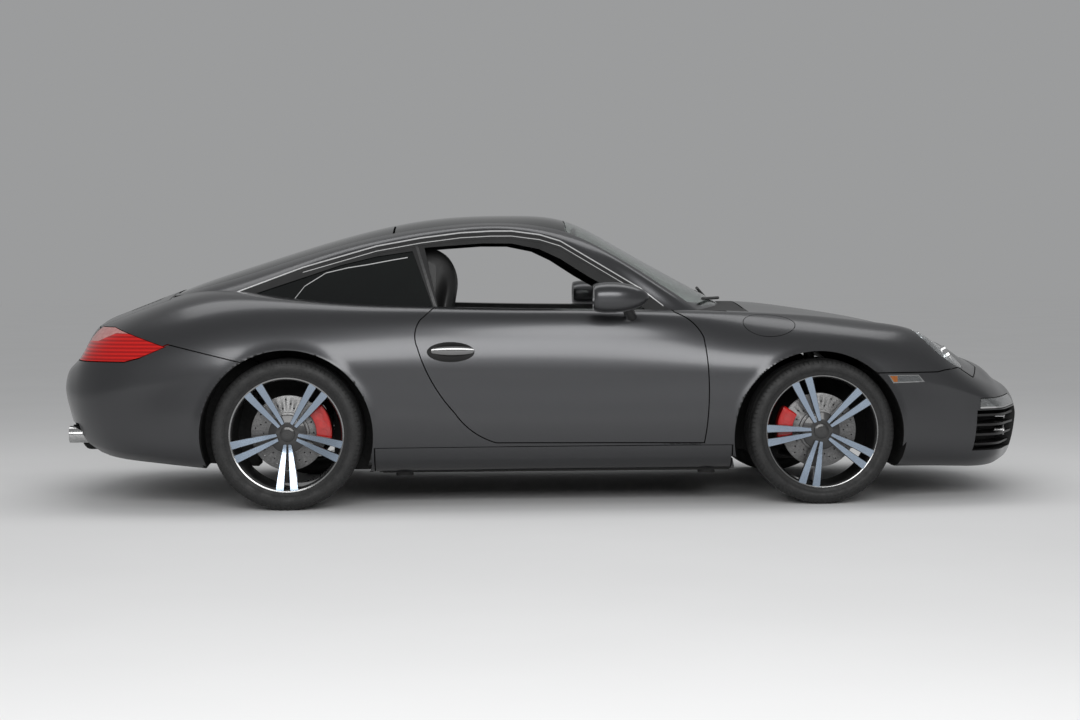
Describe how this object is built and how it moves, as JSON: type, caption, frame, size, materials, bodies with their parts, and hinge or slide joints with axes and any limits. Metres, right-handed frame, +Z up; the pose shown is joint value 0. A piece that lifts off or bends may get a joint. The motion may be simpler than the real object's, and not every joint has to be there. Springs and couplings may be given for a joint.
{
  "type": "removable-roof sports car",
  "caption": "Dark grey two-door sports car with a sliding glass roof, a glass rear hatch, a bright roof rail and alloy wheels with twin spokes.",
  "frame": {"origin": "on the floor under the middle of the car's bounding box", "axes": "+X towards the nose, +Y to the driver's left, +Z up"},
  "size_m": [4.434, 1.9856, 1.3001],
  "materials": {
    "body_paint": "dark grey metallic, clear coat",
    "floor_paint": "black underbody paint",
    "black_plastic": "grained",
    "cabin_plastic": "soft grained",
    "seat_leather": "satin",
    "lamp_clear": "clear lens",
    "lamp_red": "clear red lens",
    "clear_glass": "clear",
    "dark_glass": "dark tint",
    "bright_trim": "satin",
    "engine_alloy": "cast",
    "exhaust_steel": "polished tips",
    "suspension_steel": "painted",
    "caliper_red": "gloss red",
    "tyre_rubber": "matt",
    "wheel_alloy": "polished",
    "disc_iron": "ground"
  },
  "bodies": {
    "car": {"front_fenders": "body_paint", "front_bumper": "body_paint", "front_lamps": "lamp_clear", "cowl": "black_plastic", "roof_frame": "body_paint", "windscreen": "clear_glass", "roof_glass": "dark_glass", "quarter_glass": "dark_glass", "roof_trim": "bright_trim", "quarter_panels": "body_paint", "rear_bumper": "body_paint", "tail_lamps": "lamp_red", "side_skirts": "body_paint", "floor_pan": "floor_paint", "dashboard": "cabin_plastic", "front_seats": "seat_leather", "rear_seats": "seat_leather", "interior_mirror": "black_plastic", "wipers": "black_plastic", "engine": "engine_alloy", "exhaust": "exhaust_steel", "front_suspension": "suspension_steel", "rear_suspension": "suspension_steel", "rear_calipers": "caliper_red"},
    "door_right": {"door_panel_right": "body_paint", "door_mirror_right": "body_paint"},
    "door_left": {"door_panel_left": "body_paint", "door_mirror_left": "body_paint"},
    "front_lid": {"front_lid": "body_paint"},
    "engine_lid": {"engine_lid": "body_paint"},
    "rear_hatch": {"rear_hatch_glass": "dark_glass"},
    "filler_flap": {"filler_flap": "body_paint"},
    "steering_wheel": {"steering_wheel": "cabin_plastic"},
    "knuckle_right": {"front_caliper_right": "caliper_red", "front_upright_right": "suspension_steel"},
    "knuckle_left": {"front_caliper_left": "caliper_red", "front_upright_left": "suspension_steel"},
    "front_wheel_right": {"front_tyre_right": "tyre_rubber", "front_rim_right": "wheel_alloy", "front_disc_right": "disc_iron"},
    "front_wheel_left": {"front_tyre_left": "tyre_rubber", "front_rim_left": "wheel_alloy", "front_disc_left": "disc_iron"},
    "rear_wheel_right": {"rear_tyre_right": "tyre_rubber", "rear_rim_right": "wheel_alloy", "rear_disc_right": "disc_iron"},
    "rear_wheel_left": {"rear_tyre_left": "tyre_rubber", "rear_rim_left": "wheel_alloy", "rear_disc_left": "disc_iron"}
  },
  "joints": [
    {"name": "door_right_hinge", "type": "hinge", "parent": "car", "child": "door_right", "pos_m": [0.699, -0.8775, 0.55], "axis": [0, 0, 1], "range_deg": [0, 65]},
    {"name": "door_left_hinge", "type": "hinge", "parent": "car", "child": "door_left", "pos_m": [0.699, 0.8775, 0.55], "axis": [0, 0, -1], "range_deg": [0, 65]},
    {"name": "front_lid_hinge", "type": "hinge", "parent": "car", "child": "front_lid", "pos_m": [0.9055, 0, 0.8875], "axis": [0, -1, 0], "range_deg": [0, 60]},
    {"name": "engine_lid_hinge", "type": "hinge", "parent": "car", "child": "engine_lid", "pos_m": [-1.7055, 0, 0.9535], "axis": [0, 1, 0], "range_deg": [0, 45]},
    {"name": "rear_hatch_hinge", "type": "hinge", "parent": "car", "child": "rear_hatch", "pos_m": [-0.6945, 0, 1.2565], "axis": [0, 1, 0], "range_deg": [0, 40]},
    {"name": "filler_flap_hinge", "type": "hinge", "parent": "car", "child": "filler_flap", "pos_m": [1.0915, -0.7816, 0.7963], "axis": [0, 0.8, 0.6], "range_deg": [0, 95]},
    {"name": "steering_wheel_turn", "type": "hinge", "parent": "car", "child": "steering_wheel", "pos_m": [0.318, 0.37, 0.8], "axis": [-0.9135, 0, 0.4067], "range_deg": [-525, 525]},
    {"name": "steer_right", "type": "hinge", "parent": "car", "child": "knuckle_right", "pos_m": [1.2025, -0.668, 0.3215], "axis": [0, 0, 1], "range_deg": [-35, 35]},
    {"name": "steer_left", "type": "hinge", "parent": "car", "child": "knuckle_left", "pos_m": [1.2025, 0.668, 0.3215], "axis": [0, 0, 1], "range_deg": [-35, 35]},
    {"name": "front_wheel_right_turn", "type": "hinge", "parent": "knuckle_right", "child": "front_wheel_right", "pos_m": [1.2025, -0.744, 0.3215], "axis": [0, 1, 0], "continuous": true},
    {"name": "front_wheel_left_turn", "type": "hinge", "parent": "knuckle_left", "child": "front_wheel_left", "pos_m": [1.2025, 0.744, 0.3215], "axis": [0, 1, 0], "continuous": true},
    {"name": "rear_wheel_right_turn", "type": "hinge", "parent": "car", "child": "rear_wheel_right", "pos_m": [-1.1475, -0.766, 0.3305], "axis": [0, 1, 0], "continuous": true},
    {"name": "rear_wheel_left_turn", "type": "hinge", "parent": "car", "child": "rear_wheel_left", "pos_m": [-1.1475, 0.766, 0.3305], "axis": [0, 1, 0], "continuous": true}
  ],
  "couplings": [
    {"joint": "steer_right", "follows": "steer_left", "ratio": 1},
    {"joint": "steering_wheel_turn", "follows": "steer_left", "ratio": 15}
  ]
}
